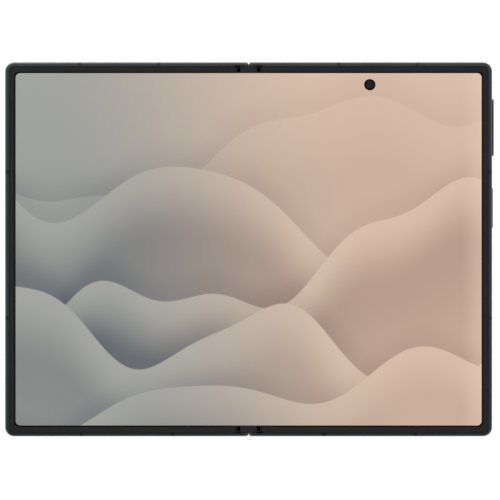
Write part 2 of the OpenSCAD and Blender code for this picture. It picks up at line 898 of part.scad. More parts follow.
module friction_discs() {
    color("goldenrod")
        both_ends()
            both_sides()
                for (i = [0:disc_count - 1])
                    difference() {
                        y = disc_y + glue_t + i * (disc_t + glue_t);
                        cylinder_y(idler_x, idler_z, disc_r, y, y + disc_t);
                        cylinder_y(idler_x, idler_z, shaft_r + pin_gap, y - over, y + disc_t + over);
                    }
}

// Drive gears of a half, whose teeth fit an idler with a tooth at idler_phase
module half_drive_gears(idler_phase) {
    teeth_past_mesh = (idler_phase - mesh_angle) * idler_teeth / 360;
    phase = mesh_angle + 180 - (teeth_past_mesh - 0.5) * 360 / drive_teeth;
    difference() {
        union() {
            along_y(gear_y, gear_y + gear_w)
                translate([axis_x, z_axis])
                    gear_shape(drive_teeth, phase);
            cylinder_y(axis_x, z_axis, drive_r - tooth_in, gear_y, hinge_y);
        }
        cylinder_y(axis_x, z_axis, pin_r + pin_gap, gear_y - over, hinge_y + over);
    }
}

module left_drive_gears() {
    color("darkgoldenrod")
        left_side()
            both_ends()
                half_drive_gears(left_idler_phase);
}

module right_drive_gears() {
    color("darkgoldenrod")
        both_ends()
            half_drive_gears(right_idler_phase);
}

// Gear, shaft and collar of the idler in the top right of the hinge
module idler(phase) {
    along_y(gear_y, gear_y + gear_w)
        translate([idler_x, idler_z])
            gear_shape(idler_teeth, phase);
    cylinder_y(idler_x, idler_z, shaft_r, block_y - glue_t, gear_y + gear_w);
    cylinder_y(idler_x, idler_z, collar_r, block_y - part_gap, block_y - glue_t);
}

module idler_top_right() {
    color("gold")
        idler(right_idler_phase);
}

module idler_bottom_right() {
    color("gold")
        mirror([0, 1, 0])
            idler(right_idler_phase);
}

module idler_top_left() {
    color("gold")
        left_side()
            idler(left_idler_phase);
}

module idler_bottom_left() {
    color("gold")
        left_side()
            mirror([0, 1, 0])
                idler(left_idler_phase);
}

// Plate behind the fold that tilts on a bead along its outer edge
module half_wing() {
    difference() {
        box(wing_x, wing_pivot_x, -wing_len_y / 2, wing_len_y / 2, z_seat - wing_t, z_seat);
        box(wing_x - over, wing_x + wing_relief, flex_y - flex_w / 2 - part_gap,
            flex_y + flex_w / 2 + part_gap, z_seat - wing_t - over, z_seat + over);
    }
    cylinder_y(wing_pivot_x, z_seat - wing_t / 2, wing_t / 2, -wing_len_y / 2, wing_len_y / 2);
}

module left_wing_plate() {
    color("lightsteelblue")
        left_side()
            half_wing();
}

module right_wing_plate() {
    color("lightsteelblue")
        half_wing();
}

module hinge_flex() {
    color("darkorange")
        box(-flex_end_x, flex_end_x, flex_y - flex_w / 2, flex_y + flex_w / 2, flex_z, flex_z + flex_t);
}

// ------------------------------------------------------------- backs, cameras

module half_glass() {
    translate([0, 0, z_back])
        linear_extrude(glass_t)
            half_outline(glass_from_fold, rim_w + glass_gap);
}

module cover_glass() {
    color([0.06, 0.06, 0.07])
        left_side()
            half_glass();
}

module lens_places() {
    for (y = [upper_lens_y, lower_lens_y])
        translate([island_x, y, 0])
            children();
}

module camera_holes() {
    lens_places()
        cylinder(r = barrel_r + camera_gap, h = 2 * z_front, center = true);
    translate([island_x, flash_y, 0])
        cylinder(r = flash_r + camera_gap / 2, h = 2 * z_front, center = true);
}

module back_glass() {
    color([0.3, 0.32, 0.35])
        difference() {
            half_glass();
            camera_holes();
        }
}

// Section of the island from its middle line: x outwards, y up
module island_profile() {
    translate([0, ring_t + island_round])
        square([island_w / 2, island_t - island_round]);
    translate([0, ring_t])
        square([island_w / 2 - island_round, island_t]);
    translate([island_w / 2 - island_round, ring_t + island_round])
        circle(island_round);
}

module island_end(y, turn) {
    translate([island_x, y, 0])
        rotate([0, 0, turn])
            rotate_extrude(angle = 180)
                island_profile();
}

module camera_island() {
    color([0.28, 0.3, 0.33])
        difference() {
            union() {
                island_end(upper_lens_y, 0);
                island_end(island_tail_y, 180);
                translate([island_x, 0, 0])
                    both_sides()
                        along_y(island_tail_y, upper_lens_y)
                            island_profile();
            }
            camera_holes();
        }
}

module lens_rings() {
    color([0.5, 0.51, 0.54])
        lens_places()
            difference() {
                cylinder(r = ring_r, h = ring_t);
                translate([0, 0, -over])
                    cylinder(r = lens_r + glue_t, h = ring_t + 2 * over);
            }
}

module lens_glasses() {
    color([0.05, 0.05, 0.07])
        lens_places()
            translate([0, 0, ring_t - lens_t])
                cylinder(r = lens_r, h = lens_t);
}

module rear_cameras() {
    color([0.15, 0.15, 0.16])
        lens_places()
            difference() {
                union() {
                    translate([0, 0, ring_t + glue_t])
                        cylinder(r = barrel_r, h = z_inside + bite - ring_t);
                    translate([-module_w / 2, -module_w / 2, z_inside + bay_gap])
                        cube([module_w, module_w, z_plate - z_inside - 2 * bay_gap]);
                }
                translate([0, 0, ring_t])
                    cylinder(r1 = barrel_r * 0.8, r2 = barrel_r * 0.4, h = z_back);
            }
}

module flash() {
    color("lemonchiffon")
        translate([island_x, flash_y, ring_t + glue_t])
            cylinder(r = flash_r, h = z_board - ring_t - glue_t);
}

module inner_camera() {
    color([0.05, 0.05, 0.05])
        translate([inner_camera_x, inner_camera_y, 0])
            difference() {
                union() {
                    translate([0, 0, z_plate - bay_gap - bite])
                        cylinder(r = inner_camera_r, h = z_screen - glue_t / 2 - z_plate + bay_gap + bite);
                    translate([-small_module_w / 2, -small_module_w / 2, z_inside + bay_gap])
                        cube([small_module_w, small_module_w, z_plate - z_inside - 2 * bay_gap]);
                }
                translate([0, 0, z_screen - panel_t / 2])
                    cylinder(r = inner_lens_r, h = panel_t);
            }
}

module inner_camera_lens() {
    color([0.18, 0.2, 0.26])
        translate([inner_camera_x, inner_camera_y, z_screen - panel_t / 2])
            cylinder(r = inner_lens_r - glue_t, h = panel_t / 4);
}

module cover_display() {
    color([0.1, 0.1, 0.12])
        left_side()
            difference() {
                translate([0, 0, z_inside])
                    linear_extrude(cover_display_t)
                        half_outline(inner_x, rim_w + cover_display_margin);
                translate([cover_camera_x, cover_camera_y, 0])
                    cylinder(r = cover_camera_r + camera_gap, h = z_front);
            }
}

module cover_camera() {
    color([0.05, 0.05, 0.05])
        left_side()
            translate([cover_camera_x, cover_camera_y, 0]) {
                translate([0, 0, z_inside])
                    cylinder(r = cover_camera_r, h = z_plate - z_inside - bay_gap);
                translate([-small_module_w / 2, -small_module_w / 2, z_left + bay_gap])
                    cube([small_module_w, small_module_w, z_plate - z_left - 2 * bay_gap]);
            }
}

// ---------------------------------------------------------------- electronics

// Flat pouch cell that starts at y0, with its back at z0
module battery(y0, len, z0) {
    box(inner_x, outer_x, y0, y0 + len, z0 + glue_t, z_plate - glue_t);
}

module left_battery() {
    color([0.35, 0.36, 0.38])
        left_side()
            battery(left_battery_y, left_battery_len, z_left);
}

module right_battery() {
    color([0.35, 0.36, 0.38])
        battery(right_battery_y, right_battery_len, z_right);
}

module charging_coil() {
    color("peru")
        translate([(inner_x + outer_x) / 2, right_battery_y + right_battery_len / 2, z_inside])
            difference() {
                cylinder(r = coil_outer_r, h = coil_t);
                translate([0, 0, -over])
                    cylinder(r = coil_inner_r, h = coil_t + 2 * over);
            }
}

function left_screws() = [
    [inner_x + screw_inset, left_board_y + screw_inset],
    [speaker_x - part_gap - screw_inset, left_board_y + screw_inset]
];

function right_screws() = [
    [inner_x + screw_inset, main_board_y + screw_inset],
    [camera_bay_x - screw_inset, bay_y - screw_inset],
    [inner_x + motor_w + screw_inset, usb_board_y - screw_inset],
    [speaker_x - part_gap - screw_inset, usb_board_y - screw_inset]
];

module screw_holes(places) {
    for (p = places)
        translate([p[0], p[1], z_inside + ledge_t])
            cylinder(r = screw_r, h = z_seat - z_inside);
}

module board_screws(places) {
    for (p = places)
        translate([p[0], p[1], 0]) {
            translate([0, 0, z_board - screw_head_h])
                cylinder(r = screw_head_r, h = screw_head_h);
            translate([0, 0, z_board])
                cylinder(r = screw_r, h = z_seat - z_board - glue_t);
        }
}

module board_plate(x0, x1, y0, y1) {
    box(x0, x1, y0, y1, z_board, z_board + board_t);
}

module small_module_hole(x, y) {
    w = small_module_w + 2 * camera_gap;
    box(x - w / 2, x + w / 2, y - w / 2, y + w / 2, z_inside, z_plate);
}

module left_board() {
    color("darkgreen")
        left_side()
            difference() {
                union() {
                    board_plate(inner_x, speaker_x - part_gap, left_board_y, bay_y);
                    board_plate(inner_x, outer_x, left_board_y, bay_y - speaker_len - part_gap);
                }
                small_module_hole(cover_camera_x, cover_camera_y);
                screw_holes(left_screws());
            }
}

module left_shields() {
    x0 = flex_end_x + part_gap + shield_margin;
    color("silver")
        left_side()
            box(x0, cover_camera_x - small_module_w / 2 - part_gap, left_board_y + shield_margin,
                bay_y - shield_margin / 2, z_left + shield_gap, z_board);
}

module flex_connector() {
    box(inner_x, flex_end_x, flex_y - flex_w / 2 + part_gap, flex_y + flex_w / 2 - part_gap,
        flex_z + flex_t, z_board);
}

module left_connector() {
    color("black")
        left_side()
            flex_connector();
}

module right_connector() {
    color("black")
        flex_connector();
}

module left_board_screws() {
    color("silver")
        left_side()
            board_screws(left_screws());
}

module right_board_screws() {
    color("silver")
        board_screws(right_screws());
}

module main_board() {
    color("darkgreen")
        difference() {
            union() {
                board_plate(inner_x, camera_bay_x, main_board_y, bay_y);
                board_plate(inner_x, outer_x, main_board_y, camera_bay_y);
            }
            small_module_hole(inner_camera_x, inner_camera_y);
            screw_holes(right_screws());
        }
}

module right_shields() {
    color("silver") {
        box(flex_end_x + part_gap + shield_margin, camera_bay_x - shield_margin,
            main_board_y + shield_margin, flex_y - shield_margin, z_inside + shield_gap, z_board);
        box(flex_end_x + part_gap + shield_margin, inner_camera_x - small_module_w / 2 - part_gap,
            flex_y - shield_margin + part_gap, bay_y - shield_margin / 2, z_inside + shield_gap, z_board);
    }
}

module usb_board() {
    color("darkgreen")
        difference() {
            board_plate(inner_x + motor_w + part_gap, speaker_x - part_gap, -bay_y, usb_board_y);
            box(port_x - port_w / 2 - port_wall - bay_gap, port_x + port_w / 2 + port_wall + bay_gap,
                -bay_y - over, port_depth + bay_gap - port_inner_y, z_inside, z_plate);
            screw_holes(right_screws());
        }
}

module usb_port() {
    color("silver")
        translate([port_x, -port_inner_y, port_z]) {
            difference() {
                rotate([-90, 0, 0])
                    linear_extrude(port_depth)
                        stadium(port_w + 2 * port_wall, port_h + 2 * port_wall);
                translate([0, -over, 0])
                    rotate([-90, 0, 0])
                        linear_extrude(port_depth - port_wall + over)
                            stadium(port_w, port_h);
            }
            translate([-tongue_w / 2, glue_t, -tongue_t / 2])
                cube([tongue_w, port_depth - port_wall, tongue_t]);
        }
}

module speaker(y0) {
    box(speaker_x, outer_x, y0, y0 + speaker_len, z_left + glue_t, z_plate - glue_t);
}

module top_speaker() {
    color([0.2, 0.2, 0.2])
        left_side()
            speaker(bay_y - speaker_len);
}

module bottom_speaker() {
    color([0.2, 0.2, 0.2])
        speaker(-bay_y);
}

module vibration_motor() {
    color("silver")
        box(inner_x, inner_x + motor_w, motor_y, motor_y + motor_len, z_inside + bay_gap, z_plate - glue_t);
}

module half_magnets() {
    x1 = side_x - bay_gap;
    z1 = z_plate - glue_t;
    for (y = magnets_y)
        box(x1 - magnet_w, x1, y - magnet_len / 2, y + magnet_len / 2, z1 - magnet_h, z1);
}

module left_magnets() {
    color("darkgray")
        left_side()
            half_magnets();
}

module right_magnets() {
    color("darkgray")
        half_magnets();
}

// -------------------------------------------------------------- card tray

module tray_socket() {
    w = tray_w + 2 * socket_gap;
    h = tray_t + 2 * socket_gap;
    y1 = tray_len + glue_t - port_inner_y;
    color("silver")
        left_side()
            difference() {
                box(tray_x - w / 2 - socket_wall, tray_x + w / 2 + socket_wall, ledge_w - port_inner_y,
                    y1 + socket_wall, tray_z - h / 2 - socket_wall, tray_z + h / 2 + socket_wall);
                box(tray_x - w / 2, tray_x + w / 2, -port_inner_y - over, y1, tray_z - h / 2, tray_z + h / 2);
            }
}

module sim_tray() {
    color("dimgray")
        left_side()
            difference() {
                union() {
                    translate([tray_x, -port_inner_y, tray_z])
                        rotate([90, 0, 0])
                            linear_extrude(rim_w)
                                stadium(tray_face_w, tray_face_h);
                    box(tray_x - tray_w / 2, tray_x + tray_w / 2, -port_inner_y - bite,
                        tray_len - port_inner_y, tray_z - tray_t / 2, tray_z + tray_t / 2);
                }
                box(tray_x - card_w / 2, tray_x + card_w / 2, card_y - card_len, card_y,
                    tray_z - tray_t, tray_z + tray_t);
                cylinder_y(tray_x + tray_w / 2 - release_r * 2, tray_z, release_r, -end_y - over,
                    over * 2 - port_inner_y);
            }
}

// ------------------------------------------------------------------ buttons

// A button with its inner flange; play is the flange's gap to the rim
module key(y, len, proud, play, domes) {
    translate([0, y, z_key]) {
        along_x(side_x - play - bite, half_w + proud)
            stadium(len, key_h);
        along_x(side_x - play - key_flange_t, side_x - play)
            square([len + 2 * key_flange_reach, key_flange_h], center = true);
        for (d = domes)
            translate([switch_x + dome_t + dome_gap, d, 0])
                rotate([0, 90, 0])
                    cylinder(r = dome_r, h = side_x - play - bite - switch_x - dome_t - dome_gap);
    }
}

module volume_rocker() {
    color([0.33, 0.34, 0.37])
        key(rocker_y, rocker_len, rocker_proud, rocker_play, [-rocker_dome_y, rocker_dome_y]);
}

module side_key() {
    color([0.33, 0.34, 0.37])
        key(side_key_y, side_key_len, side_key_proud, side_key_play, [0]);
}

module switch_board() {
    y0 = side_key_y - side_key_len / 2;
    y1 = rocker_y + rocker_len / 2;
    color("darkorange") {
        box(switch_x - switch_board_t, switch_x, y0, y1, z_key - key_h / 2, z_plate);
        for (y = [side_key_y, rocker_y - rocker_dome_y, rocker_y + rocker_dome_y])
            translate([switch_x, y, z_key])
                rotate([0, 90, 0])
                    cylinder(r = dome_r, h = dome_t);
    }
}

spine_cover();
hinge_end_blocks();
hinge_pins();
hinge_end_caps();
fold_centre_plate();
friction_discs();
spine_screws();
display_fold_strip();
hinge_flex();
idler_top_left();
idler_top_right();
idler_bottom_left();
idler_bottom_right();
left_frame();
left_antenna_bands();
left_bezel();
left_display_panel();
left_wing_plate();
left_drive_gears();
cover_glass();
cover_display();
cover_camera();
left_battery();
left_board();
left_shields();
left_connector();
left_board_screws();
top_speaker();
left_magnets();
tray_socket();
sim_tray();
right_frame();
right_antenna_bands();
right_bezel();
right_display_panel();
right_wing_plate();
right_drive_gears();
back_glass();
camera_island();
lens_rings();
lens_glasses();
rear_cameras();
flash();
inner_camera();
inner_camera_lens();
right_battery();
charging_coil();
main_board();
right_shields();
right_connector();
right_board_screws();
usb_board();
usb_port();
bottom_speaker();
vibration_motor();
right_magnets();
switch_board();
volume_rocker();
side_key();
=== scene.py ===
"""The looks of a folding phone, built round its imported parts."""

import json
import math

import bmesh
import bpy
from mathutils import Matrix, Vector


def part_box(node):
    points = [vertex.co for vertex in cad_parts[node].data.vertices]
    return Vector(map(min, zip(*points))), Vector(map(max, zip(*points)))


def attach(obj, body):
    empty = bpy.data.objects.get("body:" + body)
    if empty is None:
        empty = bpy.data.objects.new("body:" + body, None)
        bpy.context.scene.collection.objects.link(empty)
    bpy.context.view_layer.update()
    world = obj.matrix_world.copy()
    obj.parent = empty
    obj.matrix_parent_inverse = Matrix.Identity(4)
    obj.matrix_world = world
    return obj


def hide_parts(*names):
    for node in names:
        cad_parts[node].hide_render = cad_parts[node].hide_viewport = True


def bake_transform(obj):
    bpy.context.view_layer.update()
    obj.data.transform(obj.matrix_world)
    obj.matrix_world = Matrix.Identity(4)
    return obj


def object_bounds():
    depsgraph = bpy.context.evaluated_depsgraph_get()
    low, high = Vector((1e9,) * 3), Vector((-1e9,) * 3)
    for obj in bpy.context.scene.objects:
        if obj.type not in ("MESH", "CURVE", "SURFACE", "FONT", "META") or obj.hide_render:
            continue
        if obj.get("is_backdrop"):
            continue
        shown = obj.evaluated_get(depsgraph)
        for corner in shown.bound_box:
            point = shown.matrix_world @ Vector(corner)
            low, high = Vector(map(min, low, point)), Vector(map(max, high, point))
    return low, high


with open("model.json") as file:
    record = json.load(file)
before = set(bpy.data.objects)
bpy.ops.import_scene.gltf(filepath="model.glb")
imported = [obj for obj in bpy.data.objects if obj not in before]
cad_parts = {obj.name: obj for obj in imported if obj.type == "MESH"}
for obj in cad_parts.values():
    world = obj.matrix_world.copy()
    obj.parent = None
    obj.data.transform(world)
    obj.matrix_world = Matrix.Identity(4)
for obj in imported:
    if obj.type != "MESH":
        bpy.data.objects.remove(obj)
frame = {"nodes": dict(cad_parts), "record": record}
NODES = frame["nodes"]
CAD_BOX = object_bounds()
SLOT_COLOURS = {m["slot"]: m["base_color"] for m in frame["record"]["materials"]}
MM = 0.001

# Sizes of the CAD model, in millimetres
FRONT = 6.3
SCREEN_TOP = 6.05
PANEL_BACK = 5.45
LIT_X = 77.25
LIT_Y = 58.4
LIT_ROUND = 1.5
STRIP_X = 8.0
FLEX_END = 12.75
FLEX_Y = 43.0
FLEX_WIDE = 9.0
FLEX_BACK = 3.6
FLEX_TOP = 3.72
ISLAND_X = 62.1
LENSES_Y = (44.05, 26.05)
FLASH_Y = 15.55
INNER_CAMERA = (40.2, 54.6)
COVER_CAMERA = (-43.35, 55.05)
PORT = (40.95, -62.05, 3.53)

# How far from the fold the circuit bends, in millimetres
FLEX_BEND = 3.2

# Lathe profiles of the cameras' pieces, as (radius, height) in millimetres
PRINT_RING = ((3.0, 0.41), (4.15, 0.41), (4.15, 0.445), (3.0, 0.445))
BAFFLE = (
    (3.27, 0.46), (1.7, 1.77), (1.2, 1.77), (1.2, 1.45), (1.95, 1.45), (1.95, 1.2),
    (2.2, 1.2), (2.2, 0.95), (2.5, 0.95), (2.5, 0.75), (2.8, 0.75), (2.8, 0.6), (3.05, 0.6),
    (3.05, 0.46),
)
TRIM = ((1.95, 1.14), (2.15, 1.08), (2.2, 1.19), (1.95, 1.19))
INNER_WINDOW = ((0.5, 6.044), (1.27, 6.044), (1.29, 6.03), (0.48, 6.03))
# Domed lenses, as radius and the heights of edge, apex and foot
REAR_LENS = (1.9, 1.2, 0.85, 1.42)
INNER_LENS = (0.48, 5.95, 6.03, 5.905)

# The port's insulator: half its width, where it starts and ends behind the rim,
# and half its thickness
TONGUE_X = 3.38
TONGUE_Y = (0.02, 6.0)
TONGUE_Z = 0.38
# Its contacts on each side: how many, their pitch, half their width, and where
# they start and end in Y and in Z
CONTACTS = 12
CONTACT_PITCH = 0.5
CONTACT_X = 0.13
CONTACT_Y = (0.6, 4.4)
CONTACT_Z = (0.37, 0.4)

# An acoustic mesh: half its width, half its height, and its two faces' distance
# from its loudspeaker
MESH_X = 5.9
MESH_Z = 0.9
MESH_Y = (0.03, 0.09)

# Blurred edges round the cover camera, as (start, end) in metres
COVER_HOLE = (0.00168, 0.00172)
COVER_RING_INNER = (0.0006, 0.00063)
COVER_RING_OUTER = (0.00085, 0.00088)
COVER_LENS = (0.0002, 0.00058)

# How dark anodised metal stays where it is seen at a slant
EDGE_TINT = (0.35, 0.36, 0.4, 1.0)
# Grain of a smooth moulded skin, as (scale, depth in metres)
SMOOTH = (6000.0, 4e-7)
# Between these values lies most of a noise
NOISE = (0.3, 0.7)


# ------------------------------------------------------------------ materials


class Nodes:
    """A shader tree, built one node at a time."""

    def __init__(self, tree):
        self.tree = tree

    def feed(self, socket, value):
        """Links a node's output to a socket, or sets a plain value on it."""
        if isinstance(value, bpy.types.NodeSocket):
            self.tree.links.new(value, socket)
        elif isinstance(value, (tuple, list)) and len(value) == 3 and socket.type == "RGBA":
            socket.default_value = (*value, 1.0)
        else:
            socket.default_value = value

    def node(self, kind, **settings):
        made = self.tree.nodes.new("ShaderNode" + kind)
        for key, value in settings.items():
            setattr(made, key, value)
        return made

    def math(self, operation, a, b=0.0):
        made = self.node("Math", operation=operation)
        self.feed(made.inputs[0], a)
        self.feed(made.inputs[1], b)
        return made.outputs[0]

    def vector(self, operation, a, b):
        made = self.node("VectorMath", operation=operation)
        self.feed(made.inputs[0], a)
        self.feed(made.inputs[1], b)
        return made.outputs

    def split(self, vector):
        made = self.node("SeparateXYZ")
        self.feed(made.inputs[0], vector)
        return made.outputs

    def span(self, value, a, b, to_a=0.0, to_b=1.0, soft=False):
        """Maps a..b to to_a..to_b, smoothly at both ends if soft."""
        made = self.node("MapRange", interpolation_type="SMOOTHSTEP" if soft else "LINEAR")
        self.feed(made.inputs["Value"], value)
        for name, x in (("From Min", a), ("From Max", b), ("To Min", to_a), ("To Max", to_b)):
            self.feed(made.inputs[name], x)
        return made.outputs["Result"]


class Finish(Nodes):
    """A procedural material; plain holds fixed numbers for its shader."""

    def __init__(self, name, colour, **plain):
        self.mat = bpy.data.materials.new(name)
        self.mat.use_nodes = True
        super().__init__(self.mat.node_tree)
        self.shader = self.tree.nodes["Principled BSDF"]
        for key, value in plain.items():
            self.shader.inputs[key.replace("_", " ")].default_value = value
        self.set("Base Color", colour)
        self.mat.diffuse_color = (*colour, 1.0)

    def set(self, name, value):
        self.feed(self.shader.inputs[name], value)

    def place(self, uv_map=None):
        """Where a point is at rest, in metres; uv_map holds it in a piece that bends."""
        if uv_map:
            return self.node("UVMap", uv_map=uv_map).outputs[0]
        return self.node("TexCoord").outputs["Object"]

    def noise(self, vector, scale, detail=3.0, rough=0.5):
        made = self.node("TexNoise")
        self.feed(made.inputs["Vector"], vector)
        made.inputs["Scale"].default_value = scale
        made.inputs["Detail"].default_value = detail
        made.inputs["Roughness"].default_value = rough
        return made.outputs["Fac"]

    def brushed(self, along, scale, detail=3.0, rough=0.5):
        """Noise drawn out into lines; along shrinks the axis that they run on."""
        return self.noise(self.vector("MULTIPLY", self.place(), along)[0], scale, detail, rough)

    def cells(self, vector, scale):
        made = self.node("TexVoronoi")
        self.feed(made.inputs["Vector"], vector)
        made.inputs["Scale"].default_value = scale
        return made.outputs["Distance"]

    def waves(self, value, pitch):
        """A sine from -1 to 1, with one wave in every pitch of the value."""
        return self.math("SINE", self.math("MULTIPLY", value, 2 * math.pi / pitch))

    def mix(self, share, a, b):
        made = self.node("Mix", data_type="RGBA")
        self.feed(made.inputs["Factor"], share)
        self.feed(made.inputs["A"], a)
        self.feed(made.inputs["B"], b)
        return made.outputs["Result"]

    def bump(self, height, depth, strength):
        """Depth is the height of a full step, in metres."""
        made = self.node("Bump")
        made.inputs["Strength"].default_value = strength
        made.inputs["Distance"].default_value = depth
        self.feed(made.inputs["Height"], height)
        self.set("Normal", made.outputs["Normal"])
        return self

    def varied(self, colour, vector, scale, share):
        """A colour that drifts by a share of itself, lighter and darker."""
        low = times(1 - share, colour)
        high = tuple(min(1.0, c) for c in times(1 + share, colour))
        even = self.span(self.noise(vector, scale), *NOISE)
        self.set("Base Color", self.mix(even, low, high))


def times(share, colour):
    return tuple(share * c for c in colour)


def srgb(r, g, b):
    """A colour given in 0..255 screen values, as linear light."""
    return tuple(
        c / 255 / 12.92 if c <= 10 else ((c / 255 + 0.055) / 1.055) ** 2.4 for c in (r, g, b)
    )


def slot_colour(slot):
    return tuple(SLOT_COLOURS[slot])


def blasted_metal(slot, rough, share=1.0):
    """Anodised metal, bead-blasted to a satin sheen, in a share of its slot's colour."""
    tone = times(share, slot_colour(slot))
    f = Finish(slot, tone, Metallic=1.0, Specular_Tint=EDGE_TINT)
    f.varied(tone, f.place(), 55.0, 0.06)
    fine = f.noise(f.place(), 7000.0, 2.0)
    f.set("Roughness", f.span(fine, *NOISE, rough - 0.05, rough + 0.05))
    return f.bump(fine, 4e-6, 0.35)


def brushed_metal(slot, rough, along=(1.0, 0.03, 1.0), scale=5000.0):
    """Steel with fine brush lines; along shrinks the axis that they run on."""
    tone = slot_colour(slot)
    f = Finish(slot, tone, Metallic=1.0)
    lines = f.brushed(along, scale, 3.0, 0.6)
    f.set("Base Color", f.mix(f.span(lines, *NOISE), times(0.85, tone), tone))
    f.set("Roughness", f.span(lines, 0.25, 0.75, rough - 0.08, rough + 0.08))
    return f.bump(lines, 3e-6, 0.3)


def moulded(name, rough, grain=3500.0, depth=8e-6, tone=None, shine=0.12):
    """Matte plastic with a fine moulded grain, in its slot's colour if no tone is given."""
    tone = tone or slot_colour(name)
    f = Finish(name, tone, Specular_IOR_Level=shine)
    f.varied(tone, f.place(), 90.0, 0.08)
    skin = f.noise(f.place(), grain, 3.0, 0.6)
    f.set("Roughness", f.span(skin, *NOISE, rough - 0.06, rough + 0.06))
    return f.bump(skin, depth, 0.4)


def haze(f, rough):
    """A breath of haze, here and there, over glass of a given roughness."""
    smudge = f.noise(f.place(), 38.0, 4.0, 0.6)
    f.set("Roughness", f.span(smudge, 0.35, 0.75, rough, rough + 0.05))


def gloss(slot, rough):
    """Dark glass over black print."""
    f = Finish(slot, slot_colour(slot), IOR=1.5)
    f.varied(slot_colour(slot), f.place(), 25.0, 0.12)
    haze(f, rough)
    return f


def distance(f, x, y, centre):
    """How far a point is from a centre given in mm."""
    dx = f.math("SUBTRACT", x, centre[0] * MM)
    dy = f.math("SUBTRACT", y, centre[1] * MM)
    return f.math("SQRT", f.math("ADD", f.math("MULTIPLY", dx, dx), f.math("MULTIPLY", dy, dy)))


def cover_glass():
    """Cover glass: the unlit display, its black print border and its camera."""
    tone = slot_colour("cover_glass")
    f = Finish("cover_glass", tone, IOR=1.5)
    haze(f, 0.06)
    low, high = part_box("cover_display")
    blur = 2e-5
    x, y, _ = f.split(f.place())
    sides = []
    for way, a, b in ((x, low.x, high.x), (y, low.y, high.y)):
        centred = f.math("ABSOLUTE", f.math("SUBTRACT", way, (a + b) / 2))
        sides.append(f.span(centred, (b - a) / 2 - blur, (b - a) / 2 + blur, 1.0, 0.0))
    away = distance(f, x, y, COVER_CAMERA)
    display = f.math("MULTIPLY", f.math("MULTIPLY", *sides), f.span(away, *COVER_HOLE))
    face = f.mix(display, times(0.25, tone), times(1.5, tone))
    outer = f.span(away, *COVER_RING_OUTER, 1.0, 0.0)
    ring = f.math("MULTIPLY", f.span(away, *COVER_RING_INNER), outer)
    face = f.mix(ring, face, (0.05, 0.05, 0.055))
    lens = f.span(away, *COVER_LENS, 1.0, 0.0, soft=True)
    f.set("Base Color", f.mix(lens, face, (0.02, 0.022, 0.06)))
    return f


def frosted_glass():
    """Etched back glass: silky, with a very fine sparkle, painted as lighter specks in its colour
    over a real fine bump.
    """
    tone = slot_colour("back_glass")
    f = Finish("back_glass", tone, Metallic=0.35, IOR=1.5)
    speck_and_painted_sparkle = f.noise(f.place(), 16000.0, 1.0)
    # Lighter specks painted into the colour: a painted sparkle.
    f.set("Base Color", f.mix(f.span(speck_and_painted_sparkle, 0.35, 0.8), tone, times(1.5, tone)))
    f.set("Roughness", f.span(f.noise(f.place(), 60.0), *NOISE, 0.34, 0.42))
    return f.bump(speck_and_painted_sparkle, 2e-6, 0.3)


def from_lens(f):
    """Distance to the middle of the nearer of the two rear lenses."""
    x, y, _ = f.split(f.place())
    return f.math("MINIMUM", *(distance(f, x, y, (ISLAND_X, lens_y)) for lens_y in LENSES_Y))


def turned_metal(name, tone, pitch, dark, rough, depth):
    """Metal with turning marks round each rear lens; dark is its tone in the marks."""
    f = Finish(name, tone, Metallic=1.0)
    ripple = f.waves(from_lens(f), pitch)
    f.set("Base Color", f.mix(f.span(ripple, -1, 1), times(dark, tone), tone))
    f.set("Roughness", f.span(ripple, -1, 1, *rough))
    return f.bump(ripple, depth, 0.3)


def coated_lens(name, colour, film=430.0):
    """Dark lens glass under an interference coating, film nanometres thick."""
    f = Finish(name, colour, IOR=1.6, Thin_Film_Thickness=film, Thin_Film_IOR=1.38)
    f.varied(colour, f.place(), 900.0, 0.25)
    f.set("Roughness", f.span(f.noise(f.place(), 600.0), *NOISE, 0.02, 0.06))
    return f


def clear_glass():
    """Flat cover over a lens: clear, and a little grey."""
    f = Finish("clear_glass", (0.93, 0.94, 0.96), IOR=1.46, Transmission_Weight=1.0)
    f.varied((0.9, 0.91, 0.93), f.place(), 300.0, 0.02)
    f.set("Roughness", f.span(f.noise(f.place(), 250.0), *NOISE, 0.0, 0.01))
    return f


def flash_lens():
    """Milky flash window, warmer where the diode sits behind it."""
    tone = slot_colour("flash_lens")
    f = Finish("flash_lens", tone, IOR=1.5)
    x, y, _ = f.split(f.place())
    away = distance(f, x, y, (ISLAND_X, FLASH_Y))
    warm = f.span(away, 0.0003, 0.0010, soft=True)
    f.set("Base Color", f.mix(warm, (0.72, 0.52, 0.12), tone))
    ripple = f.waves(away, 0.00024)
    f.set("Roughness", f.span(ripple, -1, 1, 0.18, 0.3))
    return f.bump(ripple, 2e-5, 0.5)


def circuit_board():
    """Dark green solder mask over fine copper tracks."""
    tone = slot_colour("circuit_board")
    f = Finish("circuit_board", tone)
    x, y, _ = f.split(f.place())
    bend = f.math("MULTIPLY", f.noise(f.place(), 120.0, 0.0), 0.006)
    across = f.math("ADD", f.math("ADD", x, y), bend)
    track = f.span(f.math("SINE", f.math("MULTIPLY", across, 6500.0)), 0.55, 0.75)
    f.set("Base Color", f.mix(track, tone, times(2.2, tone)))
    f.set("Roughness", f.span(track, 0, 1, 0.42, 0.3))
    return f.bump(track, 2e-5, 0.5)


def foil():
    """Battery pouch: wrinkled laminate under a dark wrap."""
    tone = slot_colour("battery_foil")
    f = Finish("battery_foil", tone, Metallic=0.7)
    f.varied(tone, f.place(), 70.0, 0.15)
    crease = f.cells(f.place(), 260.0)
    f.set("Roughness", f.span(crease, 0.0, 0.7, 0.28, 0.42))
    return f.bump(crease, 6e-5, 0.35)


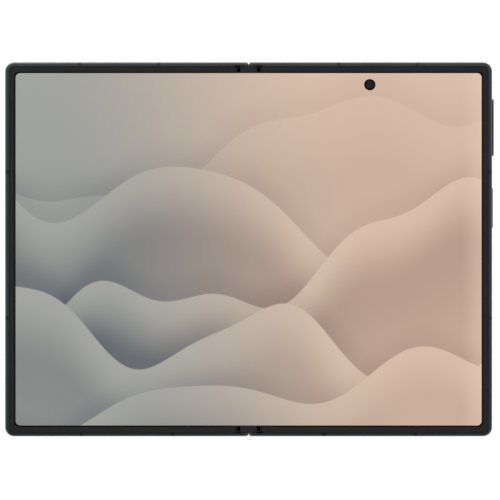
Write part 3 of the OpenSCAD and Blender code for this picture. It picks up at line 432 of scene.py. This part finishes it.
def wound_copper():
    """Flat coil, its turns round the middle of the right battery."""
    tone = slot_colour("copper")
    f = Finish("copper", tone, Metallic=1.0)
    low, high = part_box("charging_coil")
    x, y, _ = f.split(f.place())
    away = distance(f, x, y, (low + high) / 2 / MM)
    turns = f.waves(away, 0.0007)
    f.set("Base Color", f.mix(f.span(turns, -1, 0), times(0.25, tone), tone))
    f.set("Roughness", f.span(turns, -1, 1, 0.5, 0.3))
    return f.bump(turns, 5e-5, 0.6)


def flex_film(name, uv_map=None):
    """Amber film with copper lanes along X; uv_map holds places where it bends."""
    tone = slot_colour("flex_circuit")
    f = Finish(name, tone, IOR=1.6)
    _, y, _ = f.split(f.place(uv_map))
    lanes = f.span(f.waves(y, 0.0006), -0.1, 0.2)
    f.set("Base Color", f.mix(lanes, tone, (0.5, 0.2, 0.05)))
    f.set("Roughness", f.span(lanes, 0, 1, 0.35, 0.25))
    return f.bump(lanes, 1e-5, 0.5)


def contact_gold():
    """Gold plating with faint draw lines."""
    f = Finish("contact_gold", (0.75, 0.5, 0.16), Metallic=1.0)
    lines = f.brushed((1.0, 0.05, 1.0), 9000.0)
    f.set("Base Color", f.mix(f.span(lines, *NOISE), (0.6, 0.38, 0.1), (0.85, 0.6, 0.22)))
    f.set("Roughness", f.span(lines, *NOISE, 0.2, 0.32))
    return f.bump(lines, 1e-6, 0.3)


def woven_mesh():
    """Acoustic mesh: fine dark threads over and under each other."""
    f = Finish("sound_mesh", (0.03, 0.03, 0.032), Metallic=0.6)
    x, _, z = f.split(f.place())
    weave = f.math("MULTIPLY", *(f.waves(way, 0.00016) for way in (x, z)))
    thread = f.span(weave, -0.6, 0.6)
    f.set("Base Color", f.mix(thread, (0.006, 0.006, 0.006), (0.07, 0.07, 0.075)))
    f.set("Roughness", f.span(weave, -1, 1, 0.6, 0.4))
    return f.bump(weave, 2e-5, 0.6)


# ------------------------------------------------------------------ the screen

# Soft dune lines across the wallpaper, far to near. Each is the height of its
# crest at the fold in mm, its slope, and two waves of (height, half the length,
# shift), in mm and radians; then how far its light falls off, in mm, and how dark
# it is at its crest and at its foot.
DUNES = (
    (34.0, 0.22, (9.0, 62.0, 0.4), (2.5, 23.0, 1.9), 26.0, 0.10, 0.34),
    (14.0, -0.16, (13.0, 48.0, 2.6), (3.0, 27.0, 0.2), 24.0, 0.04, 0.62),
    (-9.0, 0.30, (10.0, 55.0, 4.4), (3.5, 21.0, 3.0), 22.0, 0.02, 0.74),
    (-30.0, -0.10, (12.0, 44.0, 0.9), (2.0, 19.0, 5.1), 25.0, 0.00, 0.48),
    (-47.0, 0.12, (6.0, 40.0, 3.3), (2.0, 25.0, 1.0), 18.0, 0.06, 0.40),
)


# The wallpaper's colours, as (left, right) of the screen; where they change over,
# in mm, along a line that leans by LEAN; and the paler tone at the right edge, with
# where it starts in mm and its share
LIGHT_TONES = (srgb(170, 171, 166), srgb(224, 197, 176))
DARK_TONES = (srgb(92, 100, 107), srgb(176, 146, 130))
CHANGE_X = (-55.0, 45.0)
LEAN = 0.25
PALE_TONE = srgb(240, 212, 192)
PALE_X = 70.0
PALE_SHARE = 0.35
# The sky's darkness, as (y at its top, y at its foot, darkness at each)
SKY = (60.0, -10.0, 0.04, 0.22)
# How much darker the ground gets behind a crest, and beyond how much of its fall a
# dune's own foot lightens again, by what share
CAST = 0.16
FAR = 2.6
FAR_SHARE = 0.3
SCREEN_GLOW = 0.94
# How far a crest and the lit area's edge are blurred to each side, in mm
CREST_BLUR = 0.12
LIT_BLUR = 0.05


def dune_height(f, x, dune):
    """How high a dune's crest stands at x."""
    at_fold, slope, wave, ripple = dune[:4]
    height = f.math("ADD", f.math("MULTIPLY", x, slope), at_fold)
    for tall, half_long, shift in (wave, ripple):
        angle = f.math("ADD", f.math("DIVIDE", x, half_long / math.pi), shift)
        height = f.math("ADD", height, f.math("MULTIPLY", f.math("SINE", angle), tall))
    return height


def wallpaper(f, x, y):
    """Layered dunes in haze, grey at the left and peach at the right; x and y in mm."""
    shade = f.span(y, *SKY)
    for dune in DUNES:
        fall, crest, foot = dune[4:]
        below = f.math("SUBTRACT", dune_height(f, x, dune), y)
        inside = f.span(below, -CREST_BLUR, CREST_BLUR)
        cast = f.math("MULTIPLY", f.span(below, -fall / 2, 0.0, soft=True), CAST)
        behind = f.math("ADD", shade, cast)
        body = f.span(below, 0.0, fall, crest, foot, soft=True)
        far = f.span(below, fall, FAR * fall, 0.0, -FAR_SHARE * foot, soft=True)
        front = f.math("ADD", body, far)
        step = f.math("SUBTRACT", front, behind)
        shade = f.math("ADD", behind, f.math("MULTIPLY", step, inside))
    shade = f.math("MINIMUM", f.math("MAXIMUM", shade, 0.0), 1.0)
    across = f.span(f.math("ADD", x, f.math("MULTIPLY", y, LEAN)), *CHANGE_X, soft=True)
    colour = f.mix(shade, f.mix(across, *LIGHT_TONES), f.mix(across, *DARK_TONES))
    pale = f.span(x, PALE_X, LIT_X, 0.0, PALE_SHARE, soft=True)
    return f.mix(pale, colour, PALE_TONE)


def lit_area(f, x, y):
    """1 in the lit screen with its rounded corners, 0 outside it; x and y in mm."""
    squares = []
    for way, half in ((x, LIT_X), (y, LIT_Y)):
        past = f.math("SUBTRACT", f.math("ABSOLUTE", way), half - LIT_ROUND)
        over = f.math("MAXIMUM", past, 0.0)
        squares.append(f.math("MULTIPLY", over, over))
    away = f.math("SQRT", f.math("ADD", *squares))
    return f.span(away, LIT_ROUND - LIT_BLUR, LIT_ROUND + LIT_BLUR, 1.0, 0.0)


def screen(name, uv_map=None):
    """A lit panel under its film; uv_map holds places where the panel bends."""
    f = Finish(
        name, srgb(15, 15, 16), IOR=1.4, Emission_Strength=SCREEN_GLOW, Specular_IOR_Level=0.1
    )
    source = f.place(uv_map)
    x, y, _ = f.split(f.vector("MULTIPLY", source, (1 / MM, 1 / MM, 1 / MM))[0])
    smudge = f.noise(source, 30.0, 4.0, 0.6)
    f.set("Roughness", f.span(smudge, 0.35, 0.75, 0.16, 0.24))
    f.set("Base Color", f.mix(f.span(smudge, *NOISE), srgb(3, 3, 3), srgb(6, 6, 6)))
    f.set("Emission Color", f.mix(lit_area(f, x, y), (0.0, 0.0, 0.0), wallpaper(f, x, y)))
    return f


MATERIALS = {
    "rim_metal": blasted_metal("rim_metal", 0.3).mat,
    "band_plastic": blasted_metal("band_plastic", 0.32, 0.7).mat,
    "bezel_plastic": moulded("bezel_plastic", 0.55, tone=srgb(46, 46, 46)).mat,
    "cap_plastic": moulded("cap_plastic", 0.42, tone=srgb(49, 49, 50)).mat,
    "screen": screen("screen").mat,
    "spine_metal": brushed_metal("spine_metal", 0.34).mat,
    "steel": brushed_metal("steel", 0.32).mat,
    "spring_steel": brushed_metal("spring_steel", 0.3, (1.0, 1.0, 0.05)).mat,
    "gear_steel": brushed_metal("gear_steel", 0.34, (1.0, 1.0, 1.0)).mat,
    "flex_circuit": flex_film("flex_circuit").mat,
    "cover_glass": cover_glass().mat,
    "back_glass": frosted_glass().mat,
    "island_metal": blasted_metal("island_metal", 0.3).mat,
    "ring_metal": turned_metal(
        "ring_metal", slot_colour("ring_metal"), 0.00012, 0.8, (0.2, 0.3), 1.5e-6
    ).mat,
    "lens_glass": clear_glass().mat,
    "flash_lens": flash_lens().mat,
    "camera_black": moulded("camera_black", 0.5, *SMOOTH, srgb(9, 9, 9), 0.05).mat,
    "display_black": gloss("display_black", 0.2).mat,
    "battery_foil": foil().mat,
    "circuit_board": circuit_board().mat,
    "shield_tin": brushed_metal("shield_tin", 0.38, (1.0, 0.1, 1.0), 2500.0).mat,
    "black_plastic": moulded("black_plastic", 0.5).mat,
    "magnet": blasted_metal("magnet", 0.3).mat,
    "copper": wound_copper().mat,
}


def finish_nodes():
    """Gives every CAD node the material of its slot."""
    for part in frame["record"]["subparts"]:
        mesh = NODES[part["node"]].data
        mesh.materials.clear()
        mesh.materials.append(MATERIALS[part["material_slot"]])


# --------------------------------------------------------------------- pieces

# How many steps a turned piece has round its axis, and a dome along its radius
LATHE_STEPS = 64
DOME_STEPS = 10
# Edges of turned pieces that are sharper than this stay crisp
CRISP_ANGLE = math.radians(35)


def new_object(name, bm, material):
    mesh = bpy.data.meshes.new(name)
    bmesh.ops.recalc_face_normals(bm, faces=bm.faces)
    bm.to_mesh(mesh)
    bm.free()
    mesh.materials.append(material)
    made = bpy.data.objects.new(name, mesh)
    bpy.context.scene.collection.objects.link(made)
    return made


def slab(name, x, y, z, cuts, material):
    """A thin plate, cut across X, whose UV map keeps each point's place at rest."""
    bm = bmesh.new()
    outline = ((y[0], z[0]), (y[1], z[0]), (y[1], z[1]), (y[0], z[1]))
    rows = []
    for i in range(cuts + 1):
        px = x[0] + (x[1] - x[0]) * i / cuts
        rows.append([bm.verts.new((px * MM, py * MM, pz * MM)) for py, pz in outline])
    for one, two in zip(rows, rows[1:]):
        for k in range(4):
            n = (k + 1) % 4
            bm.faces.new((one[k], one[n], two[n], two[k]))
    bm.faces.new(rows[0])
    bm.faces.new(rows[-1][::-1])
    place = bm.loops.layers.uv.new("place")
    for face in bm.faces:
        for loop in face.loops:
            loop[place].uv = loop.vert.co.xy
    return new_object(name, bm, material)


def ring_of(bm, centre, radius, z):
    """A profile's corner turned round Z into a ring of points, or one point on the axis."""
    if radius == 0:
        return [bm.verts.new((centre[0] * MM, centre[1] * MM, z * MM))]
    ring = []
    for i in range(LATHE_STEPS):
        a = 2 * math.pi * i / LATHE_STEPS
        x, y = centre[0] + radius * math.cos(a), centre[1] + radius * math.sin(a)
        ring.append(bm.verts.new((x * MM, y * MM, z * MM)))
    return ring


def lathe(name, centre, profile, material):
    """Turns a profile of (radius, height) in mm round Z, closed unless it ends on Z."""
    bm = bmesh.new()
    rings = [ring_of(bm, centre, radius, z) for radius, z in profile]
    pairs = list(zip(rings, rings[1:]))
    if profile[0][0] and profile[-1][0]:
        pairs.append((rings[-1], rings[0]))
    for one, two in pairs:
        for i in range(LATHE_STEPS):
            n = (i + 1) % LATHE_STEPS
            corners = [one[i % len(one)], one[n % len(one)], two[n % len(two)], two[i % len(two)]]
            kept = [v for k, v in enumerate(corners) if v not in corners[:k]]
            bm.faces.new(kept)
    made = new_object(name, bm, material)
    for face in made.data.polygons:
        face.use_smooth = True
    return made


def keep_edges(obj):
    """Marks the edges that stay crisp under smooth shading."""
    bm = bmesh.new()
    bm.from_mesh(obj.data)
    for edge in bm.edges:
        if len(edge.link_faces) == 2 and edge.calc_face_angle() > CRISP_ANGLE:
            edge.smooth = False
    bm.to_mesh(obj.data)
    bm.free()


def across_fold(name, reach, bend, y, z, cuts, material):
    """Makes two strips from the fold out to reach, each with its bodies and its bend."""
    for side, half, bodies in ((-1, "left", ("left_half", "spine")),
                               (1, "right", ("spine", "right_half"))):
        strip = slab(half + name, sorted((0.0, side * reach)), y, z, cuts, material)
        start, end = sorted(((0.0, 0, 0), (side * bend * MM, 0, 0)))
        yield strip, bodies, start, end


def fold_strips():
    """The bending part of the screen, as two strips, one to each side of the fold, in place of
    the CAD strip.
    """
    mat = screen("screen_bend", "place").mat
    y, z = (-LIT_Y, LIT_Y), (PANEL_BACK, SCREEN_TOP)
    strips = across_fold("_fold_strip", STRIP_X, STRIP_X, y, z, 32, mat)
    for strip, bodies, start, end in strips:
        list(bodies)
        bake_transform(strip)
        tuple(start)
        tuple(end)
        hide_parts("display_fold_strip")


def flex_strips():
    """The circuit across the fold, in two halves like the screen's strip."""
    mat = flex_film("flex_bend", "place").mat
    y, z = (FLEX_Y - FLEX_WIDE / 2, FLEX_Y + FLEX_WIDE / 2), (FLEX_BACK, FLEX_TOP)
    strips = across_fold("_hinge_flex", FLEX_END, FLEX_BEND, y, z, 48, mat)
    for film, bodies, start, end in strips:
        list(bodies)
        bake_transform(film)
        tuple(start)
        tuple(end)
        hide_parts("hinge_flex")


def bricks(name, body, material, boxes, edge):
    """Small blocks, given by their corners in mm, with bevelled edges."""
    bm = bmesh.new()
    for low, high in boxes:
        middle = (Vector(low) + Vector(high)) / 2 * MM
        size = (Vector(high) - Vector(low)) * MM
        place = Matrix.Translation(middle) @ Matrix.Diagonal((*size, 1.0))
        bmesh.ops.create_cube(bm, size=1.0, matrix=place)
    made = new_object(name, bm, material)
    bevel = made.modifiers.new("edges", "BEVEL")
    bevel.width = edge * MM
    bevel.segments = 2
    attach(made, body)


def turned(name, centre, body, slot, material, profile):
    """A lathe piece with crisp steps that rides on a body."""
    made = lathe(name, centre, profile, material)
    keep_edges(made)
    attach(made, body)


def dome(radius, edge, apex, foot):
    """Profile of a lens: a cap from its apex down to its edge, on a flat foot."""
    cap = []
    for i in range(DOME_STEPS + 1):
        cap.append((radius * i / DOME_STEPS, apex + (edge - apex) * (i / DOME_STEPS) ** 2))
    return cap + [(radius, foot), (0.0, foot)]


def rear_cameras():
    """Print ring under each glass, stepped baffle, trim ring and domed front lens."""
    ink = moulded("lens_ink", 0.5, *SMOOTH, srgb(8, 8, 9)).mat
    baffle = moulded("lens_baffle", 0.35, *SMOOTH, srgb(12, 12, 13)).mat
    glass = coated_lens("rear_lens", (0.006, 0.007, 0.013)).mat
    bright = times(1.6, slot_colour("ring_metal"))
    iris = turned_metal("lens_trim", bright, 0.00006, 0.7, (0.22, 0.34), 1e-6).mat
    for k, lens_y in enumerate(LENSES_Y):
        centre = (ISLAND_X, lens_y)
        name = "rear_camera_%d_" % (k + 1)
        turned(name + "print", centre, "right_half", "camera_black", ink, PRINT_RING)
        turned(name + "baffle", centre, "right_half", "camera_black", baffle, BAFFLE)
        turned(name + "trim", centre, "right_half", "ring_metal", iris, TRIM)
        turned(name + "lens", centre, "right_half", "lens_glass", glass, dome(*REAR_LENS))


def inner_camera():
    """Dark window round a small coated lens, seen through the screen's hole; the lens's bluish
    tone is a painted glint over its real coating.
    """
    window = moulded("inner_window", 0.4, 6000.0, 1e-6, srgb(36, 36, 37), 0.3).mat
    # The lens is tinted the bluish colour of a glint: a painted glint, over a real coating film.
    lens = coated_lens("inner_lens_painted_glint", (0.024, 0.027, 0.045), 340.0).mat
    place = (INNER_CAMERA, "right_half")
    turned("inner_camera_window", *place, "camera_black", window, INNER_WINDOW)
    turned("inner_camera_dome", *place, "lens_glass", lens, dome(*INNER_LENS))


def port_tongue():
    """Insulator round the port's tongue, with a row of contacts on each side."""
    x, y, z = PORT
    skin = moulded("port_insulator", 0.45, tone=slot_colour("black_plastic")).mat
    low = (x - TONGUE_X, y + TONGUE_Y[0], z - TONGUE_Z)
    high = (x + TONGUE_X, y + TONGUE_Y[1], z + TONGUE_Z)
    bricks("port_insulator", "right_half", skin, [(low, high)], 0.12)
    rows = []
    for side in (-1, 1):
        back, front = sorted(z + side * away for away in CONTACT_Z)
        for i in range(CONTACTS):
            px = x + (i - (CONTACTS - 1) / 2) * CONTACT_PITCH
            low = (px - CONTACT_X, y + CONTACT_Y[0], back)
            high = (px + CONTACT_X, y + CONTACT_Y[1], front)
            rows.append((low, high))
    gold = contact_gold().mat
    bricks("port_contacts", "right_half", gold, rows, 0.01)


def sound_meshes():
    """A mesh between each loudspeaker and its holes in the rim."""
    skin = woven_mesh().mat
    speakers = (("top_speaker", "left_half", 1), ("bottom_speaker", "right_half", -1))
    for speaker, half, end in speakers:
        low, high = (Vector(corner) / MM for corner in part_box(speaker))
        x, z = (low.x + high.x) / 2, (low.z + high.z) / 2
        face = high.y if end == 1 else low.y
        near, far = sorted(face + end * away for away in MESH_Y)
        box = ((x - MESH_X, near, z - MESH_Z), (x + MESH_X, far, z + MESH_Z))
        bricks(speaker[:-7] + "sound_mesh", half, skin, [box], 0.02)


def build_pieces():
    finish_nodes()
    fold_strips()
    flex_strips()
    rear_cameras()
    inner_camera()
    port_tongue()
    sound_meshes()


# ---------------------------------------------------------------------- scene

# The photo's frame: what its middle looks at, how wide it is at the rim's crest
AIM = (0.46 * MM, -0.23 * MM)
FRAME_WIDE = 165.7 * MM
LENS = 120.0
SENSOR = 36.0
# The room: the way to its brighter side, its light on the dark and the bright
# side, and how far along that way the light goes over from one to the other
BRIGHT_SIDE = (0.0, 1.0, 0.0)
WALL_LIGHT = (1.1, 1.5)
WALL_SPREAD = 0.9
CEILING_LIGHT = (0.08, 0.32)
CEILING_SPREAD = 0.5
# How high the walls end and the ceiling starts, as the rise of the way to them
CORNICE = (0.3, 0.85)
# Lamps, as (name, place, size, watts)
LAMPS = (
    ("key", (-0.4, 0.75, 0.3), (0.7, 0.3), 2.0),
    ("fill", (0.5, -0.6, 0.25), (0.6, 0.3), 0.4),
)
# The table: half its width, how far it lies under the part, its tone and its glow
TABLE_HALF = 1.5
TABLE_DROP = 0.02 * MM
TABLE_TONE = (0.5, 0.5, 0.5)
TABLE_GLOW = 0.86


def world_light():
    """A pale room, dimmer overhead, and white where the camera sees past the table."""
    world = bpy.data.worlds.new("room")
    bpy.context.scene.world = world
    world.use_nodes = True
    room = Nodes(world.node_tree)
    way = room.node("TexCoord").outputs["Generated"]
    side = room.vector("DOT_PRODUCT", way, BRIGHT_SIDE)["Value"]
    wall = room.span(side, -WALL_SPREAD, WALL_SPREAD, *WALL_LIGHT, soft=True)
    ceiling = room.span(side, -CEILING_SPREAD, CEILING_SPREAD, *CEILING_LIGHT, soft=True)
    light = room.span(room.split(way)["Z"], *CORNICE, wall, ceiling, soft=True)
    path = room.node("LightPath").outputs
    seen = room.math("MAXIMUM", path["Is Camera Ray"], path["Is Transmission Ray"])
    back = world.node_tree.nodes["Background"].inputs
    room.feed(back["Strength"], room.span(seen, 0.0, 1.0, light, 1.0))
    room.feed(back["Color"], (1.0, 1.0, 1.0))


def soft_box(name, place, size, power):
    """A lamp that is turned to the part."""
    lamp = bpy.data.lights.new(name, "AREA")
    lamp.shape = "RECTANGLE"
    lamp.size, lamp.size_y = size
    lamp.energy = power
    made = bpy.data.objects.new(name, lamp)
    made.location = place
    made.rotation_mode = "QUATERNION"
    made.rotation_quaternion = Vector(place).to_track_quat("Z", "Y")
    bpy.context.scene.collection.objects.link(made)


def floor():
    """A pale table that shows white to the camera and keeps its shadows."""
    bm = bmesh.new()
    bmesh.ops.create_grid(bm, x_segments=8, y_segments=8, size=TABLE_HALF)
    f = Finish("table", TABLE_TONE, Roughness=0.9)
    f.varied(TABLE_TONE, f.place(), 4.0, 0.01)
    path = f.node("LightPath").outputs
    seen = f.math("MAXIMUM", path["Is Camera Ray"], path["Is Glossy Ray"])
    f.set("Emission Color", (1.0, 1.0, 1.0))
    f.set("Emission Strength", f.math("MULTIPLY", seen, TABLE_GLOW))
    table = new_object("table", bm, f.mat)
    table.location.z = -TABLE_DROP
    table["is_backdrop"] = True


def camera():
    """Straight above the part, as far away as the lens needs for the photo's frame."""
    lens = bpy.data.cameras.new("camera")
    lens.lens = LENS
    lens.sensor_width = SENSOR
    lens.clip_start = 0.01
    made = bpy.data.objects.new("camera", lens)
    away = FRAME_WIDE * LENS / SENSOR
    made.location = (*AIM, FRONT * MM + away)
    bpy.context.scene.collection.objects.link(made)
    bpy.context.scene.camera = made


build_pieces()
world_light()
for lamp in LAMPS:
    soft_box(*lamp)
floor()
camera()
bpy.context.scene.view_settings.view_transform = "Standard"

boxes = {"cad": CAD_BOX, "visual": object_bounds()}
{k: [list(corner) for corner in v] for k, v in boxes.items()}
